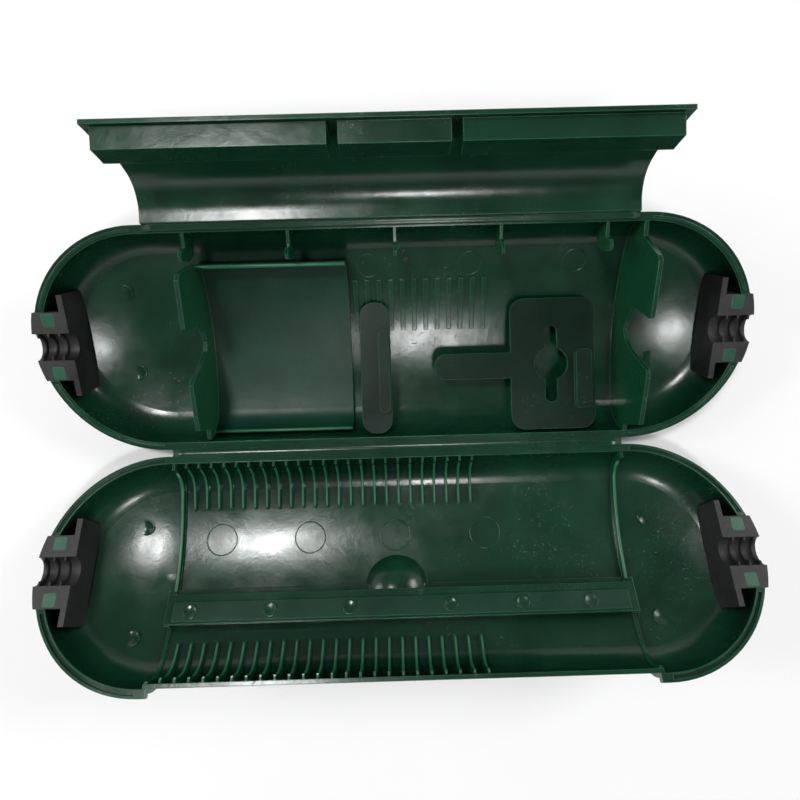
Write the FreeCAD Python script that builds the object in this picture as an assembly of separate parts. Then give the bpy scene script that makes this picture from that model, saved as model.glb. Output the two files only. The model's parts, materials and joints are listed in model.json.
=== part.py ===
"""Splash-proof cable connection box: a long flat capsule split into two hinged half shells.

Both halves are drawn flat first, rim plane up, and then tilted into the shallow V in which
the open box stands on its two round bottoms.  Frame: X along the main hinge, Y across it,
Z up; the origin lies on the table below the middle of the whole open box.
"""
import os
import math

import FreeCAD
import Part

V = FreeCAD.Vector
X_AXIS = V(1, 0, 0)

# ---- driving dimensions, mm ------------------------------------------------------------
RIM_R = 62.5          # outer radius of the rim flange, half the width of a shell
SHELL_R = 60.5        # outer radius of the shell wall, seen from above
WALL = 2.4            # shell wall
DEPTH = 33.5          # rim to the lowest point of the bottom
SIDE_H = 6.0          # straight part of the side wall
SIDE_R = 20.0         # radius between side wall and bottom
STRAIGHT = 266.0      # length of the straight middle between the two end domes
HINGE_GAP = 4.0       # rim to rim across the main living hinge
RIM_DROP = 0.2        # rim face below the hinge line, so that the closed rims stay 0.4 apart
FLANGE = 3.0          # height of the rim flange
TILT = 20.25          # each half leans this far, in degrees
SHIFT_Y = -12.79      # moves the middle of the open box over the origin

FLAP_THICK = 2.0
FLAP_CLEAR = 0.4      # air between the shut flap and the front shell
PANEL_HALF = 128.0    # half length of the flap's panel
FLAP_OPEN = 105.0     # how far the open flap is turned back from shut, in degrees
HOOK_V = (77.5, 88.5)  # hook bars, distance from the hinge rim when shut
HOOK_DEEP = 9.5
HOOK_HALF = 128.0
HOOK_GAPS = ((-27.0, -22.0), (27.0, 32.0))
LIP_V = 75.0
FINGER_R = 21.0       # the spot where a finger reaches under the flap's lip
LIP_HALF = 131.4

FIN_COUNT = 24
FIN_FIRST = -123.0
FIN_PITCH = 7.22
FIN_THICK = 1.2
FIN_HIGH = 2.6

DIVIDER_X = 132.6
DIVIDER_THICK = 2.2
LID_ROOM = 5.2        # the tall end walls keep this far inside the shut lid's outer surface
GUIDE_X = (-108.5, -54.0, 1.5, 57.0, 112.5)
TRAY_X = (-110.0, -26.0)
TRAY_OFF = (3.7, 5.7)  # the tray's trough, measured inwards from the outer surface
RACK_X = (-22.0, 53.0)
RACK_COUNT = 12
LOOSE_LEAN = 16.5     # loose parts lie this much steeper than the rim plane, in degrees

GROMMET_HALF = 19.0   # half width of a rubber cable grommet
GROMMET_DEEP = 15.0   # how far it reaches below the rim
GROMMET_LONG = 16.0   # along the cable
CABLE_R = 7.5         # half bore for the cable

# ---- values that follow ----------------------------------------------------------------
AXIS_Y = HINGE_GAP / 2 + RIM_R
HALF = STRAIGHT / 2
SIDE_A = SHELL_R - SIDE_R
LOW = DEPTH - SIDE_H
BOTTOM_R = (SIDE_A ** 2 + LOW ** 2 - SIDE_R ** 2) / (2 * (LOW - SIDE_R))
BOTTOM_Z = BOTTOM_R - DEPTH
MEET = math.atan(SIDE_A / (BOTTOM_Z + SIDE_H))
TILT_RAD = math.radians(TILT)
LIFT = BOTTOM_R - AXIS_Y * math.sin(TILT_RAD) - BOTTOM_Z * math.cos(TILT_RAD)
FLAP_AXIS_Y = AXIS_Y + SHELL_R + 0.6


# ---- helpers in the flat frame of a half -------------------------------------------------
def box(x0, x1, y0, y1, z0, z1):
    return Part.makeBox(x1 - x0, y1 - y0, z1 - z0, V(x0, y0, z0))


def strip_box(x0, x1, v0, v1, z0, z1):
    """A box placed by its distances from the hinge-side rim edge."""
    return box(x0, x1, HINGE_GAP / 2 + v0, HINGE_GAP / 2 + v1, z0, z1)


def half_outline(inset, x, side):
    """Points from the rim down to the middle of the bottom, set in from the outer surface."""
    side_r = SIDE_R - inset
    low_r = BOTTOM_R - inset
    mid = (math.pi / 2 - MEET) / 2

    def place(rho, z):
        return V(x, AXIS_Y + side * rho, z)

    rim = place(SIDE_A + side_r, 0)
    wall_end = place(SIDE_A + side_r, -SIDE_H)
    side_mid = place(SIDE_A + side_r * math.cos(mid), -SIDE_H - side_r * math.sin(mid))
    meet = place(SIDE_A + side_r * math.sin(MEET), -SIDE_H - side_r * math.cos(MEET))
    low_mid = place(low_r * math.sin(MEET / 2), BOTTOM_Z - low_r * math.cos(MEET / 2))
    low = place(0, BOTTOM_Z - low_r)
    return rim, wall_end, side_mid, meet, low_mid, low


def outline_edges(inset, x, side):
    rim, wall_end, side_mid, meet, low_mid, low = half_outline(inset, x, side)
    return [
        Part.makeLine(rim, wall_end),
        Part.Arc(wall_end, side_mid, meet).toShape(),
        Part.Arc(meet, low_mid, low).toShape(),
    ]


def bowl(inset):
    """The full body of a half, shrunk evenly by the inset: straight middle and two domes."""
    ends = [half_outline(inset, -HALF, side) for side in (1, -1)]
    edges = outline_edges(inset, -HALF, 1) + outline_edges(inset, -HALF, -1)
    section = Part.Wire(Part.__sortEdges__(edges + [Part.makeLine(ends[1][0], ends[0][0])]))
    body = Part.Face(section).extrude(V(STRAIGHT, 0, 0))
    for side in (-1, 1):
        x = side * HALF
        rim, low = half_outline(inset, x, 1)[0], half_outline(inset, x, 1)[-1]
        top = V(x, AXIS_Y, 0)
        ring = outline_edges(inset, x, 1) + [Part.makeLine(low, top), Part.makeLine(top, rim)]
        dome = Part.Face(Part.Wire(Part.__sortEdges__(ring))).revolve(top, V(0, 0, 1), 360)
        if dome.Volume < 0:
            dome.reverse()
        body = body.fuse(dome)
    return body


def upside_down(shape):
    return shape.mirror(V(0, 0, 0), V(0, 0, 1))


def stadium(radius, z0, z1):
    """An upright prism with the outline of the rim."""
    body = box(-HALF, HALF, AXIS_Y - radius, AXIS_Y + radius, z0, z1)
    for side in (-1, 1):
        body = body.fuse(Part.makeCylinder(radius, z1 - z0, V(side * HALF, AXIS_Y, z0)))
    return body


def layer(inset0, inset1, region):
    """The part of a region that lies between two insets, so it follows the shell."""
    return bowl(inset0).common(region).cut(bowl(inset1))


def plate(profile, x0, x1):
    """A flat plate across the box; the profile is (distance from hinge rim, height)."""
    points = [V(x0, HINGE_GAP / 2 + v, z) for v, z in profile]
    return Part.Face(Part.makePolygon(points + points[:1])).extrude(V(x1 - x0, 0, 0))


def fuse_all(shapes):
    body = shapes[0]
    if len(shapes) > 1:
        body = body.multiFuse(shapes[1:])
    return body.removeSplitter()


def cut_all(body, tools):
    for tool in tools:
        body = body.cut(tool)
    return body.removeSplitter()


def below_rim(shape):
    return shape.common(box(-300, 300, -10, 200, -100, -RIM_DROP))


def tilt_back(shape):
    """Flat frame to the finished place of the back half."""
    out = shape.copy()
    out.rotate(V(0, 0, 0), X_AXIS, TILT)
    out.translate(V(0, SHIFT_Y, LIFT))
    return out


def tilt_front(shape):
    """Flat frame to the finished place of the front half, mirrored across the hinge."""
    out = shape.mirror(V(0, 0, 0), V(0, 1, 0))
    out.rotate(V(0, 0, 0), X_AXIS, -TILT)
    out.translate(V(0, SHIFT_Y, LIFT))
    return out


def open_flap(shape):
    """Shut flap to open flap: turned back about the line along the back half's free rim."""
    out = shape.copy()
    out.rotate(V(0, FLAP_AXIS_Y, 0), X_AXIS, -FLAP_OPEN)
    return out


# ---- the two shells ----------------------------------------------------------------------
def grommet_pocket(side):
    """The cut in an end of a shell that the rubber grommet fills."""
    tip = HALF + RIM_R
    x0, x1 = sorted((side * (tip - GROMMET_LONG), side * (tip + 10)))
    return box(x0, x1, AXIS_Y - GROMMET_HALF, AXIS_Y + GROMMET_HALF, -GROMMET_DEEP, 1)


def half_bowl():
    """Wall and rim flange of one half with both grommet pockets, nothing else inside."""
    wall = below_rim(bowl(0).cut(bowl(WALL)))
    ring = stadium(RIM_R, -RIM_DROP - FLANGE, -RIM_DROP).cut(stadium(SHELL_R - WALL, -10, 1))
    pockets = [grommet_pocket(-1), grommet_pocket(1)]
    return fuse_all([cut_all(wall, pockets), cut_all(ring, pockets)])


def end_band(r0, r1, z0, z1):
    """A rim ring round the two end domes only."""
    ring = stadium(r1, z0, z1).cut(stadium(r0, z0 - 1, z1 + 1))
    middle = box(-HALF - 2, HALF + 2, -10, 200, z0 - 1, z1 + 1)
    gap = box(-300, 300, AXIS_Y - GROMMET_HALF - 2, AXIS_Y + GROMMET_HALF + 2, z0 - 1, z1 + 1)
    return ring.cut(middle).cut(gap)


def end_wall(top, x0, thick, room, seat):
    """Upright wall across the half: sits on the seat inset, stays inside the room above."""
    x1 = x0 + thick
    body = plate([(2, -40)] + top + [(123, -40)], x0, x1)
    lower = bowl(seat).common(body)
    upper = upside_down(bowl(room)).common(body)
    return fuse_all([lower, upper])


def divider(side):
    """Fixed end wall: two teeth rise into the lid, the cable lies in the notch between."""
    top = [(2, -0.6), (8, -0.6), (15, 19), (44, 21), (46, 19), (51.5, -3), (56, -11), (61, -14.5),
           (66, -12), (75.5, -5), (72.5, 17), (74, 18.5), (102, 20), (104.5, 18), (113, -0.6),
           (123, -0.6)]
    return end_wall(top, side * DIVIDER_X - DIVIDER_THICK / 2, DIVIDER_THICK, LID_ROOM, WALL - 0.4)


def guide_fins():
    """Five small leaves on the free rim that lead the closing front half."""
    profile = [(123, -14), (123, -0.8), (113.2, -0.8), (112, 5), (109, 7), (106.5, 6), (105.5, -4),
               (109, -14)]
    bore = bowl(WALL - 0.4).fuse(strip_box(-HALF, HALF, 100, 113.4, -1, 9))
    return [plate(profile, x - 0.8, x + 0.8).common(bore) for x in GUIDE_X]


def rack_ribs():
    """Toothed track on the bottom that the cable tray runs over."""
    pitch = (RACK_X[1] - RACK_X[0]) / (RACK_COUNT - 1)
    places = [RACK_X[0] + i * pitch for i in range(RACK_COUNT)]
    return [layer(WALL - 0.3, WALL + 1.0, strip_box(x - 1.2, x + 1.2, 61, 91, -40, 0)) for x in places]


def back_shell():
    tongue = end_band(59.4, 60.6, -RIM_DROP - 0.5, 0.6)
    return tilt_back(fuse_all([half_bowl(), divider(-1), divider(1), tongue] + guide_fins() + rack_ribs()))


def comb_fins(v0, v1, inset0):
    """A row of thin ribs down one side wall of the front half."""
    slots = [FIN_FIRST + i * FIN_PITCH for i in range(FIN_COUNT)]
    slabs = [strip_box(x - FIN_THICK / 2, x + FIN_THICK / 2, v0, v1, -40, -1.2) for x in slots]
    comb = Part.makeCompound(slabs)
    return layer(inset0 - 0.4, inset0 + FIN_HIGH, comb).Solids


def finger_dome():
    """The pushed-in spot in the bottom where a finger gets under the flap's lip."""
    centre = V(-2.7, HINGE_GAP / 2 + LIP_V - 1.3, -DEPTH - 12.1)
    zone = strip_box(-40, 40, 20, LIP_V + 1.3, -DEPTH - 2, -10)
    dome = Part.makeSphere(FINGER_R + WALL, centre).common(zone).common(bowl(WALL - 0.4))
    return dome, Part.makeSphere(FINGER_R, centre)


def front_shell():
    neck = FLAP_THICK + FLAP_CLEAR
    deep = FLAP_THICK + HOOK_DEEP + FLAP_CLEAR
    v0, v1 = HOOK_V[0] - 0.6, HOOK_V[1] + 0.6
    free = strip_box(-PANEL_HALF - 1, PANEL_HALF + 1, v0, 130, -40, 1)
    flange_gap = stadium(RIM_R + 1, -4, 1).cut(stadium(SHELL_R - neck, -5, 2)).common(free)
    lip_zone = strip_box(-LIP_HALF - 1, LIP_HALF + 1, LIP_V - 0.8, HOOK_V[1] + 1, -40, 1)
    groove = strip_box(-HOOK_HALF - 0.5, HOOK_HALF + 0.5, v0, v1, -40, 1)
    lined = strip_box(-131, 131, LIP_V - 3, 130, -40, -RIM_DROP)
    behind_lip = strip_box(-LIP_HALF - 3, LIP_HALF + 3, LIP_V - 3, HOOK_V[1] + 3, -40, -10)
    trough = strip_box(-131, 131, v0 - 1.7, v1 + 1.7, -40, -10)
    dome, hollow = finger_dome()
    ribs = comb_fins(4, 27, WALL) + comb_fins(100, 123, neck + WALL - 0.2)
    ribs += [layer(WALL - 0.4, WALL + 3.4, box(x - 0.8, x + 0.8, 0, 130, -40, -1.5)) for x in (-130.2, 130.2)]
    inner = [layer(WALL - 0.4, neck + WALL - 0.2, region) for region in (lined, behind_lip)]
    inner.append(layer(WALL - 0.4, deep + 1.7, trough))
    body = fuse_all([half_bowl(), dome] + inner + ribs)
    shaved = bowl(-3).cut(bowl(neck))
    tools = [flange_gap, shaved.common(free), shaved.common(lip_zone), groove.cut(bowl(deep)), hollow,
             end_band(58.9, 61.1, -RIM_DROP - 1.4, 1)]
    return tilt_front(cut_all(body, tools))


# ---- the two living hinges ---------------------------------------------------------------
def main_hinge_web():
    return tilt_back(box(-131, 131, -1.3, HINGE_GAP / 2, -0.9, -0.1))


def flap_hinge_web():
    y0 = AXIS_Y + SHELL_R - 0.6
    return tilt_back(box(-PANEL_HALF, PANEL_HALF, y0, FLAP_AXIS_Y + 0.7, -RIM_DROP, 0.5))


# ---- the closing flap --------------------------------------------------------------------
def closing_flap():
    """Curved panel, stiffening lip and three hook bars that snap into the front shell's groove."""
    panel = layer(0, FLAP_THICK, strip_box(-PANEL_HALF, PANEL_HALF, LIP_V, 125, -40, -1.7))
    lip = layer(0, FLAP_THICK, strip_box(-LIP_HALF, LIP_HALF, LIP_V, HOOK_V[1], -40, -1.7))
    edges = [-HOOK_HALF] + [x for gap in HOOK_GAPS for x in gap] + [HOOK_HALF]
    bars = []
    for x0, x1 in zip(edges[0::2], edges[1::2]):
        block = strip_box(x0, x1, HOOK_V[0], HOOK_V[1], -40, 0)
        core = strip_box(x0 + 1.8, x1 - 1.8, HOOK_V[0] + 1.8, HOOK_V[1] - 1.8, -40, 0)
        bar = layer(FLAP_THICK - 0.3, FLAP_THICK + HOOK_DEEP, block)
        bars.append(bar.cut(layer(FLAP_THICK + 0.1, FLAP_THICK + HOOK_DEEP - 1.8, core)))
    shut = upside_down(fuse_all([panel, lip] + bars))
    return tilt_back(open_flap(shut))


# ---- loose parts in the back half --------------------------------------------------------
def cable_tray():
    """Sliding trough whose notched end wall holds one plug."""
    x0, x1 = TRAY_X
    trough = layer(TRAY_OFF[0], TRAY_OFF[1], strip_box(x0, x1, 0, 103.2, -40, -9))
    free_wall = strip_box(x0, x1, 101.2, 103.2, -40, -11).common(bowl(TRAY_OFF[0]))
    top = [(2, -0.8), (12, -0.8), (17, 15), (43, 15.5), (45, 13), (50, -3), (55, -13), (60, -16),
           (66, -13), (72, -8), (71, 13), (73, 15), (98, 15), (101, 12), (103, -0.8), (104, -40)]
    wall = end_wall(top, x0, 2.2, WALL + 5.6, TRAY_OFF[0])
    return tilt_back(fuse_all([trough, free_wall, wall]))


def lean_in(shape, v):
    """A loose part drawn on z = 0, laid from the hinge-side rim down towards the bottom."""
    out = shape.copy()
    out.rotate(V(0, 0, 0), X_AXIS, -LOOSE_LEAN)
    out.translate(V(0, HINGE_GAP / 2 + v, -3.8))
    return tilt_back(out)


def pill(x0, x1, y0, y1, radius, thick):
    """A flat plate with rounded corners."""
    body = box(x0, x1, y0, y1, 0, thick)
    upright = [e for e in body.Edges if abs(e.Vertexes[0].Z - e.Vertexes[-1].Z) > thick / 2]
    return body.makeFillet(radius, upright)


def stop_strip():
    body = pill(-20, -2.5, 0, 76, 8.0, 2.0)
    rib = pill(-9.5, -3.4, 12, 60, 2.8, 5.0)
    return lean_in(fuse_all([body, rib]), 5.4)


def hanger_plate():
    """Wall hanger: a plate and arm with a keyhole that takes a screw either way up."""
    body = fuse_all([pill(67, 116, 0, 76, 8.0, 2.4), pill(23, 80, 30, 45, 6.0, 2.4)])
    flange = pill(104, 113, 12, 46, 3.0, 6.0)
    centre = V(90.5, 38, -5)
    hole = Part.makeCylinder(9.6, 20, centre)
    slot = pill(centre.x - 3.5, centre.x + 3.5, centre.y - 22, centre.y + 22, 3.4, 20)
    slot.translate(V(0, 0, -5))
    body = fuse_all([body, flange]).cut(hole).cut(slot)
    return lean_in(body.removeSplitter(), 5.4)


# ---- rubber cable grommets ---------------------------------------------------------------
def grommet(side):
    tip = HALF + RIM_R
    ring = stadium(RIM_R + 1.6, -GROMMET_DEEP, -RIM_DROP).cut(stadium(RIM_R - GROMMET_LONG, -40, 1))
    block = grommet_pocket(side).common(ring)
    x0, x1 = sorted((side * (tip - GROMMET_LONG), side * (tip - GROMMET_LONG - 3)))
    collar = box(x0, x1, AXIS_Y - 28, AXIS_Y + 28, -21, -RIM_DROP).common(bowl(WALL + 0.1))
    bore_x = min(side * (tip - 40), side * (tip + 10))
    bore = Part.makeCylinder(CABLE_R, 50, V(bore_x, AXIS_Y, 0), X_AXIS)
    return fuse_all([block, collar]).cut(bore)


PARTS = {
    "back_shell": back_shell,
    "front_shell": front_shell,
    "main_hinge_web": main_hinge_web,
    "flap_hinge_web": flap_hinge_web,
    "closing_flap": closing_flap,
    "cable_tray": cable_tray,
    "stop_strip": stop_strip,
    "hanger_plate": hanger_plate,
    "grommet_back_left": lambda: tilt_back(grommet(-1)),
    "grommet_back_right": lambda: tilt_back(grommet(1)),
    "grommet_front_left": lambda: tilt_front(grommet(-1)),
    "grommet_front_right": lambda: tilt_front(grommet(1)),
}

os.makedirs("parts", exist_ok=True)
for name, make in PARTS.items():
    shape = make()
    shape.exportStep(f"parts/{name}.step")
    b = shape.BoundBox
    print(f"{name:22s} solids {len(shape.Solids)} valid {shape.isValid()} vol {shape.Volume / 1000:.1f} "
          f"[{b.XMin:.2f},{b.XMax:.2f}] [{b.YMin:.2f},{b.YMax:.2f}] [{b.ZMin:.2f},{b.ZMax:.2f}]")
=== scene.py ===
"""Open cable connection box, lying on a pale floor and seen from above.

The shells, flap, tray, strip, hanger and grommets are the CAD nodes with finished materials.
Everything else is small moulded detail: the two living hinges, the crests and the shelf in the
lid, gate rings and ejector marks, the rails of the tray, and in each grommet its lips, its
locking blocks and the seats round them.

Places on a half are given as (x, v, h): along the hinge, from the hinge-side rim edge, and
above the rim plane.  Lengths are in millimetres and MM turns them into metres, except in
materials, lights and the camera, which are in metres.
"""
import json
import math

import bmesh
import bpy
from mathutils import Matrix, Vector
from mathutils.bvhtree import BVHTree


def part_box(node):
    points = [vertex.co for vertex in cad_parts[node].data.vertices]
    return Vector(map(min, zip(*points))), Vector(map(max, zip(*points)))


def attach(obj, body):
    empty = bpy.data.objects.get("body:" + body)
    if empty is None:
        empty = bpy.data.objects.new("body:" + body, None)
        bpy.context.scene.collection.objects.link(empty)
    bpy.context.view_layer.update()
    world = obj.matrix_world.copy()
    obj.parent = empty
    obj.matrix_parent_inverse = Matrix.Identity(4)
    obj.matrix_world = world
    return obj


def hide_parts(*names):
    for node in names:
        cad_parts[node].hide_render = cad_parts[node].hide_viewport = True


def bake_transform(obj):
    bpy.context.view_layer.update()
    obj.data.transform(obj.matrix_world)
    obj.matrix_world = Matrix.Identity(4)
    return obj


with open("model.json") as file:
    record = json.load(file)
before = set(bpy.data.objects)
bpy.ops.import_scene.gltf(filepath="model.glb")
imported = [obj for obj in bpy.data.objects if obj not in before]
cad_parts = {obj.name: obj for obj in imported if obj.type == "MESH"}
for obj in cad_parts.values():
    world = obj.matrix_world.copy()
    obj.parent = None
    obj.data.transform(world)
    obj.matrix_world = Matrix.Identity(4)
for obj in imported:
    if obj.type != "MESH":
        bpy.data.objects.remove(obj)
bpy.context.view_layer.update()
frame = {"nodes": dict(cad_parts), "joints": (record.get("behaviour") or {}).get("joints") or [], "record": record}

MM = 0.001
BACK, FRONT = 1, -1
BODY = {BACK: "back", FRONT: "lid"}
SHELL = {BACK: "back_shell", FRONT: "front_shell"}

JOINTS = {joint["name"]: joint for joint in frame["joints"]}
LID_PIVOT = Vector(JOINTS["lid_hinge"]["pos_m"])
FLAP_PIVOT = Vector(JOINTS["flap_hinge"]["pos_m"])
# How far each half leans up from the hinge.
TILT = math.atan2(FLAP_PIVOT.z - LID_PIVOT.z, FLAP_PIVOT.y - LID_PIVOT.y)
HALF_GAP = 2.0      # hinge line to rim edge
RIM_R = 62.5        # half the width of a shell over the rims
TIP_X = 195.5       # middle to the end of a rim
HINGE_HALF = 131.0  # half length of the main living hinge
FLAP_HALF = 128.0   # half length of the flap's hinge
SKIN_THICK = 0.6    # both living hinges


# ---- placing --------------------------------------------------------------------------------
def spot(side, x, v, h):
    """Place on a half in the row frame, in metres."""
    local = Vector((x, side * (HALF_GAP + v), h)) * MM
    return LID_PIVOT + Matrix.Rotation(side * TILT, 3, "X") @ local


def up(side):
    """The direction straight out of a half's rim plane."""
    return Matrix.Rotation(side * TILT, 3, "X") @ Vector((0, 0, 1))


def tree_of(node):
    """The search tree of a CAD node's mesh."""
    mesh = frame["nodes"][node].data
    points = [vertex.co.copy() for vertex in mesh.vertices]
    return BVHTree.FromPolygons(points, [tuple(face.vertices) for face in mesh.polygons])


TREES = {side: tree_of(node) for side, node in SHELL.items()}


def floor_at(side, x, v):
    """First surface under (x, v) in a half: its place and its normal."""
    hit, normal, _, _ = TREES[side].ray_cast(spot(side, x, v, -1.0), -up(side))
    if normal.dot(up(side)) < 0:
        normal = -normal
    return hit, normal


def circle(steps):
    """Evenly spaced angles all the way round."""
    return [2 * math.pi * i / steps for i in range(steps)]


def spread(low, high, steps):
    """Evenly spaced values from low to high, both included."""
    return [low + (high - low) * i / steps for i in range(steps + 1)]


# ---- materials ------------------------------------------------------------------------------
SCUFF_TINT = (0.30, 0.38, 0.35, 1)
# painted shade: near-black green laid into corners and narrow gaps
PAINTED_SHADE_TINT = (0.0006, 0.004, 0.003, 1)
PAINTED_LIGHT_TINT = (0.007, 0.085, 0.030, 1)     # painted light: upright walls painted lighter, as if light came through them
PAINTED_EDGE_LIGHT_TINT = (0.034, 0.230, 0.115, 1)    # painted light: rounded edges painted bright green, as if light came through them
PAINTED_SHADE_REACH = 0.012
PAINTED_LIGHT_REACH, PAINTED_LIGHT_FADE = 0.136, 0.002      # painted light on upright walls ends here along X, at the end domes
EDGE_ROUND = 0.0006
PLASTIC_IOR = 1.49
GLOW_WEIGHT, GLOW_DEPTH, GLOW_TINT = 0.35, 0.0022, (0.15, 1.0, 0.4)


class Graph:
    """Short hand for building a node tree."""

    def __init__(self, name):
        self.material = bpy.data.materials.new(name)
        self.material.use_nodes = True
        self.tree = self.material.node_tree
        self.shader = self.tree.nodes["Principled BSDF"]
        self.place = self.tree.nodes.new("ShaderNodeTexCoord").outputs["Object"]

    def node(self, kind, settings=None, **inputs):
        made = self.tree.nodes.new(kind)
        for name, value in (settings or {}).items():
            setattr(made, name, value)
        for name, value in inputs.items():
            self.feed(made.inputs[name.replace("_", " ")], value)
        return made

    def feed(self, socket, value):
        if isinstance(value, bpy.types.NodeSocket):
            self.tree.links.new(value, socket)
        else:
            socket.default_value = value

    def noise(self, scale, detail=3.0, rough=0.5, distortion=0.0):
        made = self.node("ShaderNodeTexNoise", Vector=self.place, Scale=scale, Detail=detail,
                         Roughness=rough, Distortion=distortion)
        return made.outputs["Fac"]

    def ramp(self, value, low, high, start=0.0, end=1.0):
        made = self.node("ShaderNodeMapRange", Value=value)
        limits = {"From Min": low, "From Max": high, "To Min": start, "To Max": end}
        for name, number in limits.items():
            made.inputs[name].default_value = number
        return made.outputs["Result"]

    def maths(self, operation, first, second):
        made = self.node("ShaderNodeMath", {"operation": operation})
        self.feed(made.inputs[0], first)
        self.feed(made.inputs[1], second)
        return made.outputs[0]

    def mix(self, factor, first, second):
        made = self.node("ShaderNodeMix", {"data_type": "RGBA"})
        self.feed(made.inputs["Factor"], factor)
        self.feed(made.inputs[6], first)
        self.feed(made.inputs[7], second)
        return made.outputs[2]

    def bump(self, height, strength, distance, normal=None):
        made = self.node("ShaderNodeBump", Height=height, Strength=strength, Distance=distance)
        if normal is not None:
            self.feed(made.inputs["Normal"], normal)
        return made.outputs["Normal"]

    def painted_shade(self, reach):
        """Painted shade: low in corners and narrow gaps, one on open surfaces."""
        made = self.node("ShaderNodeAmbientOcclusion", {"samples": 6}, Distance=reach)
        return self.ramp(made.outputs["AO"], 0.30, 0.90, 0.12, 1.0)

    def painted_light_walls(self, reach, fade):
        """Painted light: one on upright walls across the box between the end domes, painted lighter as if light
        came through them.
        """
        normal = self.tree.nodes.new("ShaderNodeNewGeometry").outputs["Normal"]
        facing = self.node("ShaderNodeSeparateXYZ", Vector=normal).outputs["X"]
        place = self.node("ShaderNodeSeparateXYZ", Vector=self.place).outputs["X"]
        upright = self.ramp(self.maths("ABSOLUTE", facing, 0.0), 0.85, 0.95)
        inside = self.ramp(self.maths("ABSOLUTE", place, 0.0), reach, reach + fade, 1.0, 0.0)
        return self.maths("MULTIPLY", upright, inside)

    def edges(self, radius):
        """Normals rounded over sharp edges, and how near to such an edge the surface is."""
        rounded = self.node("ShaderNodeBevel", {"samples": 4}, Radius=radius).outputs["Normal"]
        flat = self.tree.nodes.new("ShaderNodeNewGeometry").outputs["Normal"]
        match = self.tree.nodes.new("ShaderNodeVectorMath")
        match.operation = "DOT_PRODUCT"
        self.feed(match.inputs[0], rounded)
        self.feed(match.inputs[1], flat)
        return rounded, self.ramp(match.outputs["Value"], 0.99, 0.80)


def green_plastic(name, deep, light, gloss, grain, shine=0.5):
    """Moulded polypropylene: flow marks, fine grain, scuffs, painted shade in corners and gaps, and painted light
    on upright walls and on edges, as if light came through them.
    """
    g = Graph(name)
    flow = g.ramp(g.noise(22.0, detail=4.0, rough=0.55, distortion=0.8), 0.32, 0.68)
    scratch = g.ramp(g.noise(260.0, detail=8.0, rough=0.7, distortion=2.5), 0.60, 0.72)
    patch = g.ramp(g.noise(16.0, detail=2.0), 0.50, 0.66)
    scuff = g.maths("MULTIPLY", scratch, patch)
    colour = g.mix(flow, deep, light)
    colour = g.mix(g.maths("MULTIPLY", scuff, 0.22), colour, SCUFF_TINT)
    rounded, edge = g.edges(EDGE_ROUND)
    # painted light: a broken band of bright green along rounded edges
    edge_light_breakup = g.ramp(g.noise(150.0, detail=4.0), 0.25, 0.75, 0.35, 0.95)
    painted_edge_light = g.maths("MULTIPLY", edge, edge_light_breakup)
    # painted shade: corners and narrow gaps darkened towards near-black
    colour = g.mix(g.painted_shade(PAINTED_SHADE_REACH), PAINTED_SHADE_TINT, colour)
    # painted light: upright walls between the end domes lightened
    lit = g.maths("MULTIPLY", g.painted_light_walls(PAINTED_LIGHT_REACH, PAINTED_LIGHT_FADE), 0.75)
    colour = g.mix(lit, colour, PAINTED_LIGHT_TINT)
    colour = g.mix(painted_edge_light, colour, PAINTED_EDGE_LIGHT_TINT)
    g.feed(g.shader.inputs["Base Color"], colour)
    rough = g.ramp(g.noise(48.0, detail=5.0, rough=0.6), 0.3, 0.7, gloss - 0.05, gloss + 0.08)
    rough = g.maths("ADD", rough, g.maths("MULTIPLY", scuff, 0.25))
    g.feed(g.shader.inputs["Roughness"], rough)
    waves = g.bump(g.noise(55.0, detail=2.0), 0.30, 0.0005, rounded)
    waves = g.bump(g.noise(190.0, detail=3.0, rough=0.6, distortion=1.2), 0.22, 0.0002, waves)
    waves = g.bump(scuff, 0.40, 0.0002, waves)
    fine = g.bump(g.noise(2600.0, detail=2.0), grain, 0.00012, waves)
    g.feed(g.shader.inputs["Normal"], fine)
    for setting, value in (("IOR", PLASTIC_IOR), ("Specular IOR Level", shine),
                           ("Subsurface Weight", GLOW_WEIGHT), ("Subsurface Radius", GLOW_TINT),
                           ("Subsurface Scale", GLOW_DEPTH)):
        g.shader.inputs[setting].default_value = value
    return g.material


def seal_rubber():
    """Soft dark rubber with dust in its pores."""
    g = Graph("seal_rubber_worn")
    dust = g.ramp(g.noise(420.0, detail=6.0, rough=0.65), 0.5, 0.75)
    cloud = g.ramp(g.noise(60.0), 0.35, 0.65)
    colour = g.mix(cloud, (0.010, 0.010, 0.011, 1), (0.022, 0.021, 0.022, 1))
    colour = g.mix(g.maths("MULTIPLY", dust, 0.35), colour, (0.050, 0.048, 0.046, 1))
    g.feed(g.shader.inputs["Base Color"], colour)
    g.feed(g.shader.inputs["Roughness"], g.ramp(cloud, 0, 1, 0.48, 0.66))
    g.feed(g.shader.inputs["Normal"], g.bump(g.noise(1500.0, detail=4.0), 0.35, 0.00015))
    return g.material


def pale_floor():
    """Matt white with a very faint cloud in it."""
    g = Graph("pale_floor")
    colour = g.mix(g.noise(9.0, detail=4.0), (0.91, 0.91, 0.91, 1), (0.94, 0.94, 0.94, 1))
    g.feed(g.shader.inputs["Base Color"], colour)
    g.shader.inputs["Roughness"].default_value = 0.7
    return g.material


SHELL_GREEN = green_plastic(
    "shell_green", deep=(0.0028, 0.026, 0.013, 1), light=(0.0055, 0.046, 0.023, 1),
    gloss=0.21, grain=0.10)
INSERT_GREEN = green_plastic(
    "insert_green", deep=(0.0028, 0.025, 0.014, 1), light=(0.0050, 0.042, 0.024, 1),
    gloss=0.38, grain=0.35, shine=0.32)
LOOSE_GREEN = green_plastic(
    "loose_green", deep=(0.0010, 0.009, 0.005, 1), light=(0.0020, 0.018, 0.010, 1),
    gloss=0.36, grain=0.25, shine=0.22)
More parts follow.
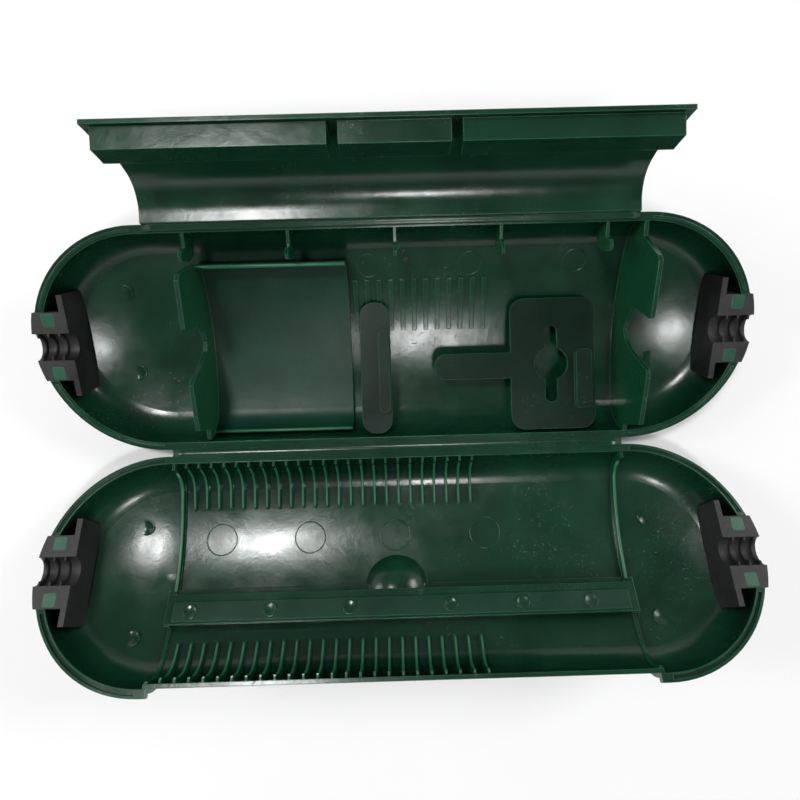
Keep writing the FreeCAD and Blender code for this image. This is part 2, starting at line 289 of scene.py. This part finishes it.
# painted light: brighter copy of the green for rib crests and tray rails
LIGHT_PAINTED_GREEN = green_plastic(
    "light_painted_green", deep=(0.014, 0.100, 0.050, 1), light=(0.024, 0.150, 0.075, 1),
    gloss=0.35, grain=0.10)
# painted light: brighter copy of the green for the locking blocks
LIGHT_PAINTED_LOCK_GREEN = green_plastic(
    "lock_green_light_painted", deep=(0.010, 0.075, 0.040, 1), light=(0.016, 0.100, 0.055, 1),
    gloss=0.42, grain=0.25)
RUBBER = seal_rubber()
PAINT = {"green_plastic": SHELL_GREEN, "green_insert": INSERT_GREEN, "seal_rubber": RUBBER}
OWN_PAINT = {"stop_strip": LOOSE_GREEN, "hanger_plate": LOOSE_GREEN}


def paint_cad():
    """The CAD nodes keep their shape and get the finished materials of their slots."""
    for part in frame["record"]["subparts"]:
        node = frame["nodes"][part["node"]]
        node.data.materials.clear()
        node.data.materials.append(OWN_PAINT.get(part["node"], PAINT[part["material_slot"]]))


# ---- mesh building --------------------------------------------------------------------------
WELD = 0.000002     # points nearer than this are one, in metres


def new_piece(name, mesh, material, body=None, smooth=True):
    """Turns a bmesh into a named piece on a body."""
    bmesh.ops.remove_doubles(mesh, verts=mesh.verts, dist=WELD)
    bmesh.ops.recalc_face_normals(mesh, faces=mesh.faces)
    data = bpy.data.meshes.new(name)
    mesh.to_mesh(data)
    mesh.free()
    data.materials.append(material)
    for face in data.polygons:
        face.use_smooth = smooth
    obj = bpy.data.objects.new(name, data)
    bpy.context.scene.collection.objects.link(obj)
    if body:
        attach(obj, body)
    return obj


def bevelled(obj, width):
    """Rounds the hard edges of a piece."""
    edge = obj.modifiers.new("rounded", "BEVEL")
    edge.width = width * MM
    edge.segments = 2
    edge.limit_method = "ANGLE"
    edge.harden_normals = False
    return obj


def loft(mesh, rings, closed):
    """Skins rings of points that have the same count, and caps the ends if it is not closed."""
    rows = [[mesh.verts.new(point) for point in ring] for ring in rings]
    count = len(rows[0])
    pairs = list(zip(rows, rows[1:]))
    if closed:
        pairs.append((rows[-1], rows[0]))
    for one, two in pairs:
        for i in range(count):
            j = (i + 1) % count
            mesh.faces.new((one[i], one[j], two[j], two[i]))
    if not closed:
        mesh.faces.new(rows[0])
        mesh.faces.new(list(reversed(rows[-1])))


# ---- the two living hinges ------------------------------------------------------------------
def skin_strip(name, outline, half_length, thick):
    """A thin bent strip along X; the outline is its middle line in the row frame's Y and Z."""
    middle = [Vector((0, y, z)) for y, z in outline]
    ring = []
    for i, point in enumerate(middle):
        ahead = middle[min(i + 1, len(middle) - 1)] - middle[max(i - 1, 0)]
        normal = Vector((0, -ahead.z, ahead.y)).normalized() * thick / 2 * MM
        ring.append((point + normal, point - normal))
    loop = [pair[0] for pair in ring] + [pair[1] for pair in reversed(ring)]
    mesh = bmesh.new()
    places = [x * MM for x in spread(-half_length, half_length, 40)]
    loft(mesh, [[Vector((x, p.y, p.z)) for p in loop] for x in places], False)
    return new_piece(name, mesh, SHELL_GREEN)


def main_hinge():
    """Skin between the two rims: it lies in the lid's closing fold."""
    back = [spot(BACK, 0, v, h) for v, h in ((1.4, -0.9), (0.2, -0.7), (-0.9, -0.75))]
    front = [spot(FRONT, 0, v, h) for v, h in ((-0.9, -0.75), (0.2, -0.7), (1.4, -0.9))]
    fold = LID_PIVOT + Vector((0, 0, -0.75 * MM))
    outline = [(p.y, p.z) for p in back + [fold] + front]
    skin = skin_strip("main_hinge_skin", outline, HINGE_HALF, SKIN_THICK)
    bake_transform(skin)
    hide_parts("main_hinge_web")


def flap_hinge():
    """Skin between the back rim and the flap's panel."""
    reach = 2 * RIM_R
    line = ((-3.4, 0.1), (-2.2, 0.25), (-1.2, 0.1), (-0.2, 0.2), (0.6, 0.9), (0.9, 1.8))
    places = [spot(BACK, 0, reach + past, h) for past, h in line]
    skin = skin_strip("flap_hinge_skin", [(p.y, p.z) for p in places], FLAP_HALF, SKIN_THICK)
    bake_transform(skin)
    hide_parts("flap_hinge_web")


# ---- ribs and the shelf in the lid ----------------------------------------------------------
FIN_FIRST, FIN_PITCH, FIN_COUNT = -123.0, 7.22, 24
FIN_RUNS = ((5.5, 26.5), (100.5, 118.0))    # from v to v, on the near and the far side wall
FIN_WIDE, FIN_RISE = 1.25, 0.45
END_RIB_X = 130.2
END_RIB_RUN = (8.0, 74.0)
END_RIB_WIDE, END_RIB_RISE = 1.9, 0.6
SHELF_V = 84.5          # middle of the shelf over the hook groove
SHELF_WIDE = 10.5
SHELF_UP = 0.9          # how far it stands above the groove's inner wall
SHELF_SHORT = 3.5       # gap between its ends and the end ribs


def crest(mesh, side, x, v0, v1, wide, rise, steps=14):
    """A rounded top along a rib that runs across the half at x."""
    profile = ((-wide / 2, -0.6), (-wide / 2, rise * 0.6), (-wide / 4, rise),
               (wide / 4, rise), (wide / 2, rise * 0.6), (wide / 2, -0.6))
    out = up(side)
    rings = []
    for v in spread(v0, v1, steps):
        place, _ = floor_at(side, x, v)
        rings.append([place + Vector((reach, 0, 0)) * MM + out * height * MM
                      for reach, height in profile])
    loft(mesh, rings, False)


def lid_crests():
    """Tops of the comb ribs on both side walls and of the two arched end ribs."""
    mesh = bmesh.new()
    for i in range(FIN_COUNT):
        for v0, v1 in FIN_RUNS:
            crest(mesh, FRONT, FIN_FIRST + i * FIN_PITCH, v0, v1, FIN_WIDE, FIN_RISE)
    for x in (-END_RIB_X, END_RIB_X):
        crest(mesh, FRONT, x, *END_RIB_RUN, END_RIB_WIDE, END_RIB_RISE, 30)
    # painted light: the crests get the lighter green
    new_piece("lid_rib_crests", mesh, LIGHT_PAINTED_GREEN, "lid")


def lid_shelf():
    """Flat shelf that runs over the hook groove from end rib to end rib."""
    profile = ((-1, -1.2), (-1, SHELF_UP - 0.3), (-0.94, SHELF_UP),
               (0.94, SHELF_UP), (1, SHELF_UP - 0.3), (1, -1.2))
    reach = END_RIB_X - SHELF_SHORT
    mesh = bmesh.new()
    rings = []
    for x in spread(-reach, reach, 20):
        place, normal = floor_at(FRONT, x, SHELF_V)
        along = normal.cross(Vector((1, 0, 0))).normalized()
        rings.append([place + along * across * SHELF_WIDE / 2 * MM + normal * height * MM
                      for across, height in profile])
    loft(mesh, rings, False)
    new_piece("lid_shelf", mesh, INSERT_GREEN, "lid", smooth=False)


# ---- moulded marks --------------------------------------------------------------------------
RING_WIDE = 0.45        # half the width of a gate ring's ridge
MARK_UP = 0.35          # height of an ejector mark
LID_RINGS_X, LID_RINGS_V, LID_RING_R = (-107, -54, -3, 51), 44, 9.0
SHELF_MARKS_X, SHELF_MARK_R = (-117, -73, -29, 27, 67, 105), 4.0
BACK_RINGS_X, BACK_RINGS_V, BACK_RING_R = (-14, 44, 104), 99.5, 6.5
LID_DOME_MARKS = ((-152, 36), (-151, 97), (148, 38), (146, 94))
BACK_DOME_MARKS = ((-155, 40), (-155, 88), (154, 40), (154, 88))
DOME_MARK_R = 4.6


def ridge_ring(mesh, side, x, v, radius, height=0.30):
    """A low moulded ring that follows the shell's inner surface."""
    profile = ((-RING_WIDE, -0.15), (-RING_WIDE / 2, height),
               (RING_WIDE / 2, height), (RING_WIDE, -0.15))
    rings = []
    for turn in circle(56):
        ring = []
        for reach, rise in profile:
            px = x + (radius + reach) * math.cos(turn)
            pv = v + (radius + reach) * math.sin(turn)
            place, normal = floor_at(side, px, pv)
            ring.append(place + normal * rise * MM)
        rings.append(ring)
    loft(mesh, rings, True)


def button(mesh, side, x, v, radius, lift=0.0):
    """A flat round ejector mark standing just proud of the surface, or of what lies on it."""
    profile = ((radius, -0.4), (radius, MARK_UP * 0.6), (radius - 0.25, MARK_UP),
               (radius - 0.9, MARK_UP), (radius - 1.15, MARK_UP * 0.55))
    place, normal = floor_at(side, x, v)
    place = place + normal * lift * MM
    across = Vector((1, 0, 0))
    along = normal.cross(across).normalized()
    rings = []
    for reach, rise in profile:
        middle = place + normal * rise * MM
        rings.append([middle + (across * math.cos(turn) + along * math.sin(turn)) * reach * MM
                      for turn in circle(40)])
    loft(mesh, rings, False)


def shell_marks():
    """Gate rings and ejector marks on the inner surfaces of both halves."""
    front = bmesh.new()
    for x in LID_RINGS_X:
        ridge_ring(front, FRONT, x, LID_RINGS_V, LID_RING_R)
    for x in SHELF_MARKS_X:
        button(front, FRONT, x, SHELF_V, SHELF_MARK_R, SHELF_UP)
    for x, v in LID_DOME_MARKS:
        button(front, FRONT, x, v, DOME_MARK_R)
    new_piece("lid_moulding_marks", front, SHELL_GREEN, "lid")
    back = bmesh.new()
    for x in BACK_RINGS_X:
        # Low enough for the tray to slide over.
        ridge_ring(back, BACK, x, BACK_RINGS_V, BACK_RING_R, 0.25)
    for x, v in BACK_DOME_MARKS:
        button(back, BACK, x, v, DOME_MARK_R)
    new_piece("back_moulding_marks", back, SHELL_GREEN, "back")


# ---- tray -----------------------------------------------------------------------------------
RAILS = ((102.2, -11.0, 1.15), (7.1, -9.2, 1.1))    # v, h and radius
RAIL_START = 3.0        # from the tray's left end
RAIL_TAPER = 0.5        # length over which the ends narrow


def tray_rails():
    """Rounded beads along both long edges of the tray."""
    low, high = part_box("cable_tray")
    x0, x1 = low.x / MM + RAIL_START, high.x / MM
    mesh = bmesh.new()
    for v, h, radius in RAILS:
        rings = []
        for x in (x0, x0 + RAIL_TAPER, x1 - RAIL_TAPER, x1):
            reach = radius if x0 < x < x1 else radius * 0.7
            rings.append([spot(BACK, x, v + reach * math.cos(turn), h + reach * math.sin(turn))
                          for turn in circle(16)])
        loft(mesh, rings, False)
    # painted light: the rails get the lighter green
    new_piece("tray_rails", mesh, LIGHT_PAINTED_GREEN, "tray")


# ---- grommets -------------------------------------------------------------------------------
BORE_R = 7.5
LIP_R = 5.0
LIP_PLACES = (1.6, 7.4, 13.4)   # from the tip inwards along the cable
# From the middle of the bore outwards, and from the tip inwards.
LOCK_ACROSS, LOCK_DEPTHS = (11.0, 18.4), (12.5, 5.6)
SEAT_ACROSS, SEAT_DEPTHS = (9.6, 18.9), (14.2, 4.2)


def grommet_lips(side, end, name):
    """Thin half-round lips inside the bore of one grommet."""
    profile = ((BORE_R + 0.4, -0.6), (LIP_R + 0.3, -0.25), (LIP_R, 0.0),
               (LIP_R + 0.3, 0.25), (BORE_R + 0.4, 0.6))
    mesh = bmesh.new()
    for depth in LIP_PLACES:
        x = end * (TIP_X - depth)
        rings = []
        for turn in spread(0.0, math.pi, 28):
            ring = []
            for radius, offset in profile:
                h = -radius * math.sin(turn) - 0.25
                ring.append(spot(side, x + offset, RIM_R + radius * math.cos(turn), h))
            rings.append(ring)
        loft(mesh, rings, False)
    new_piece(name, mesh, RUBBER, BODY[side])


def block(mesh, side, x0, x1, v0, v1, h0, h1, corner):
    """An upright block with rounded corners in plan."""
    centres = [(x1 - corner, v1 - corner, 0), (x0 + corner, v1 - corner, 1),
               (x0 + corner, v0 + corner, 2), (x1 - corner, v0 + corner, 3)]
    plan = []
    for cx, cv, quarter in centres:
        for i in range(5):
            turn = (quarter + i / 4) * math.pi / 2
            plan.append((cx + corner * math.cos(turn), cv + corner * math.sin(turn)))
    loft(mesh, [[spot(side, x, v, h) for x, v in plan] for h in (h0, h1)], False)


def block_pair(side, end, across, depths, h0, h1, corner):
    """The same block on both sides of one grommet's bore."""
    mesh = bmesh.new()
    for hand in (-1, 1):
        v0, v1 = sorted(RIM_R + hand * reach for reach in across)
        x0, x1 = sorted(end * (TIP_X - depth) for depth in depths)
        block(mesh, side, x0, x1, v0, v1, h0, h1, corner)
    return mesh


def locking_blocks(side, end, name):
    """Shell blocks that come up through the rubber on both sides of the bore."""
    mesh = block_pair(side, end, LOCK_ACROSS, LOCK_DEPTHS, -6.0, -0.03, 1.2)
    # painted light: the blocks get the lighter green
    bevelled(new_piece(name, mesh, LIGHT_PAINTED_LOCK_GREEN, BODY[side], smooth=False), 0.25)


def lock_seats(side, end, name):
    """The rubber lip that stands round each locking block."""
    mesh = block_pair(side, end, SEAT_ACROSS, SEAT_DEPTHS, -4.0, -0.12, 1.6)
    bevelled(new_piece(name, mesh, RUBBER, BODY[side], smooth=False), 0.3)


def grommets():
    for side, half in ((BACK, "back"), (FRONT, "front")):
        for end, hand in ((-1, "left"), (1, "right")):
            grommet_lips(side, end, f"grommet_lips_{half}_{hand}")
            locking_blocks(side, end, f"grommet_locks_{half}_{hand}")
            lock_seats(side, end, f"grommet_lock_seats_{half}_{hand}")


# ---- stage ----------------------------------------------------------------------------------
FLOOR_HALF, FLOOR_Z = 8.0, -0.0002
# Name, place, aim, width and power.
LIGHTS = (("window_left", (-0.42, 0.30, 1.45), (0, 0, 0), 0.26, 9.5),
          ("window_front", (0.10, -0.62, 1.40), (0, 0, 0), 0.22, 6.0),
          ("side_right", (1.2, 0.5, 0.9), (0, 0, 0.03), 0.5, 7.0),
          ("side_left", (-1.2, 0.2, 0.8), (0, 0, 0.03), 0.5, 4.5))
WALL_HEIGHT, WALL_WHITE = 0.18, (1.0, 1.0, 1.0, 1)
CEILING_HEIGHT, CEILING_GREY = 0.50, (0.15, 0.15, 0.15, 1)
LENS, SENSOR_WIDE = 24.98, 36.0
CAMERA_PLACE = (0.00018, 0.0027, 0.3425)
CAMERA_TURNS = (2.086, -0.34, -1.60)    # lean, sway and roll in degrees


def floor():
    mesh = bmesh.new()
    corners = ((-1, -1), (1, -1), (1, 1), (-1, 1))
    mesh.faces.new([mesh.verts.new((x * FLOOR_HALF, y * FLOOR_HALF, FLOOR_Z))
                    for x, y in corners])
    new_piece("pale_floor", mesh, pale_floor(), smooth=False)


def soft_light(name, place, aim, size, power):
    light = bpy.data.lights.new(name, "AREA")
    light.shape = "DISK"
    light.size = size
    light.energy = power
    obj = bpy.data.objects.new(name, light)
    bpy.context.scene.collection.objects.link(obj)
    obj.location = place
    obj.rotation_euler = (Vector(aim) - Vector(place)).to_track_quat("-Z", "Y").to_euler()
    obj.visible_camera = False


def surroundings():
    """Pale walls all round and a darker ceiling."""
    world = bpy.data.worlds.new("studio")
    world.use_nodes = True
    nodes, links = world.node_tree.nodes, world.node_tree.links
    place = nodes.new("ShaderNodeTexCoord")
    parts = nodes.new("ShaderNodeSeparateXYZ")
    shade = nodes.new("ShaderNodeValToRGB")
    walls, ceiling = shade.color_ramp.elements
    walls.position, walls.color = WALL_HEIGHT, WALL_WHITE
    ceiling.position, ceiling.color = CEILING_HEIGHT, CEILING_GREY
    links.new(place.outputs["Generated"], parts.inputs["Vector"])
    links.new(parts.outputs["Z"], shade.inputs["Fac"])
    links.new(shade.outputs["Color"], nodes["Background"].inputs["Color"])
    bpy.context.scene.world = world


def camera():
    """Almost straight above, a short way up, as one looks down into the open box."""
    data = bpy.data.cameras.new("view_from_above")
    data.lens = LENS
    data.sensor_width = SENSOR_WIDE
    data.clip_start = 0.01
    obj = bpy.data.objects.new("view_from_above", data)
    bpy.context.scene.collection.objects.link(obj)
    turned = Matrix.Identity(4)
    for angle, axis in zip(CAMERA_TURNS, "XYZ"):
        turned = turned @ Matrix.Rotation(math.radians(angle), 4, axis)
    obj.matrix_world = Matrix.Translation(CAMERA_PLACE) @ turned
    bpy.context.scene.camera = obj


paint_cad()
main_hinge()
flap_hinge()
lid_crests()
lid_shelf()
shell_marks()
tray_rails()
grommets()
floor()
for light in LIGHTS:
    soft_light(*light)
surroundings()
camera()
bpy.context.scene.view_settings.view_transform = "Standard"
